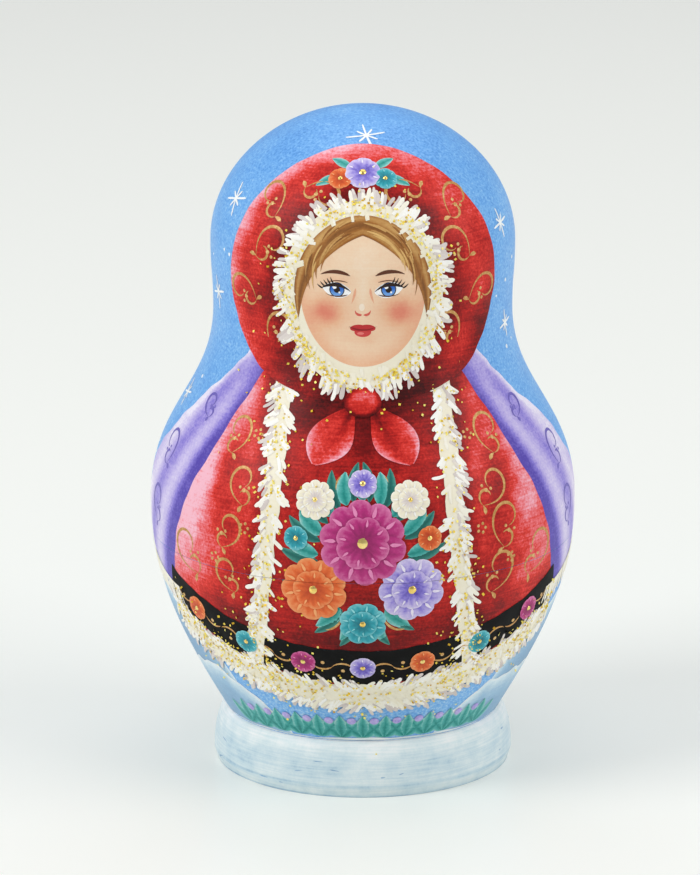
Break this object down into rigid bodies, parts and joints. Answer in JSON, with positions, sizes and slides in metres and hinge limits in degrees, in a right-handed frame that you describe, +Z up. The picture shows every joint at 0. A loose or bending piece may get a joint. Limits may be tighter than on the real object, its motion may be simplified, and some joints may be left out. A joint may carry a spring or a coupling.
{
  "type": "nesting doll set",
  "caption": "Turned and painted wooden nesting doll that parts below the belly at a spigot joint and holds ever smaller dolls of the same shape.",
  "frame": {"origin": "centre of the outer doll's flat base", "axes": "+Z up along the turning axis; the painted front faces -Y"},
  "size_m": [0.07, 0.07, 0.11],
  "materials": {
    "sky_paint": "satin acrylic paint on linden wood",
    "coat_paint": "satin acrylic paint on linden wood"
  },
  "bodies": {
    "outer_bottom": {"outer_bottom": "coat_paint"},
    "second_bottom": {"second_bottom": "coat_paint"},
    "third_bottom": {"third_bottom": "coat_paint"},
    "fourth_bottom": {"fourth_bottom": "coat_paint"},
    "smallest_doll": {"smallest_doll": "sky_paint"},
    "fourth_top": {"fourth_top": "sky_paint"},
    "third_top": {"third_top": "sky_paint"},
    "second_top": {"second_top": "sky_paint"},
    "outer_top": {"outer_top": "sky_paint"}
  },
  "joints": [
    {"name": "second_bottom_lift", "type": "slide", "parent": "outer_bottom", "child": "second_bottom", "axis": [0, 0, 1], "range_m": [0, 0.0412]},
    {"name": "third_bottom_lift", "type": "slide", "parent": "second_bottom", "child": "third_bottom", "axis": [0, 0, 1], "range_m": [0, 0.0349]},
    {"name": "fourth_bottom_lift", "type": "slide", "parent": "third_bottom", "child": "fourth_bottom", "axis": [0, 0, 1], "range_m": [0, 0.0287]},
    {"name": "smallest_doll_lift", "type": "slide", "parent": "fourth_bottom", "child": "smallest_doll", "axis": [0, 0, 1], "range_m": [0, 0.0224]},
    {"name": "fourth_top_lift", "type": "slide", "parent": "smallest_doll", "child": "fourth_top", "axis": [0, 0, 1], "range_m": [0, 0.0221]},
    {"name": "third_top_lift", "type": "slide", "parent": "fourth_top", "child": "third_top", "axis": [0, 0, 1], "range_m": [0, 0.0371]},
    {"name": "second_top_lift", "type": "slide", "parent": "third_top", "child": "second_top", "axis": [0, 0, 1], "range_m": [0, 0.052]},
    {"name": "outer_top_lift", "type": "slide", "parent": "second_top", "child": "outer_top", "axis": [0, 0, 1], "range_m": [0, 0.067]}
  ]
}
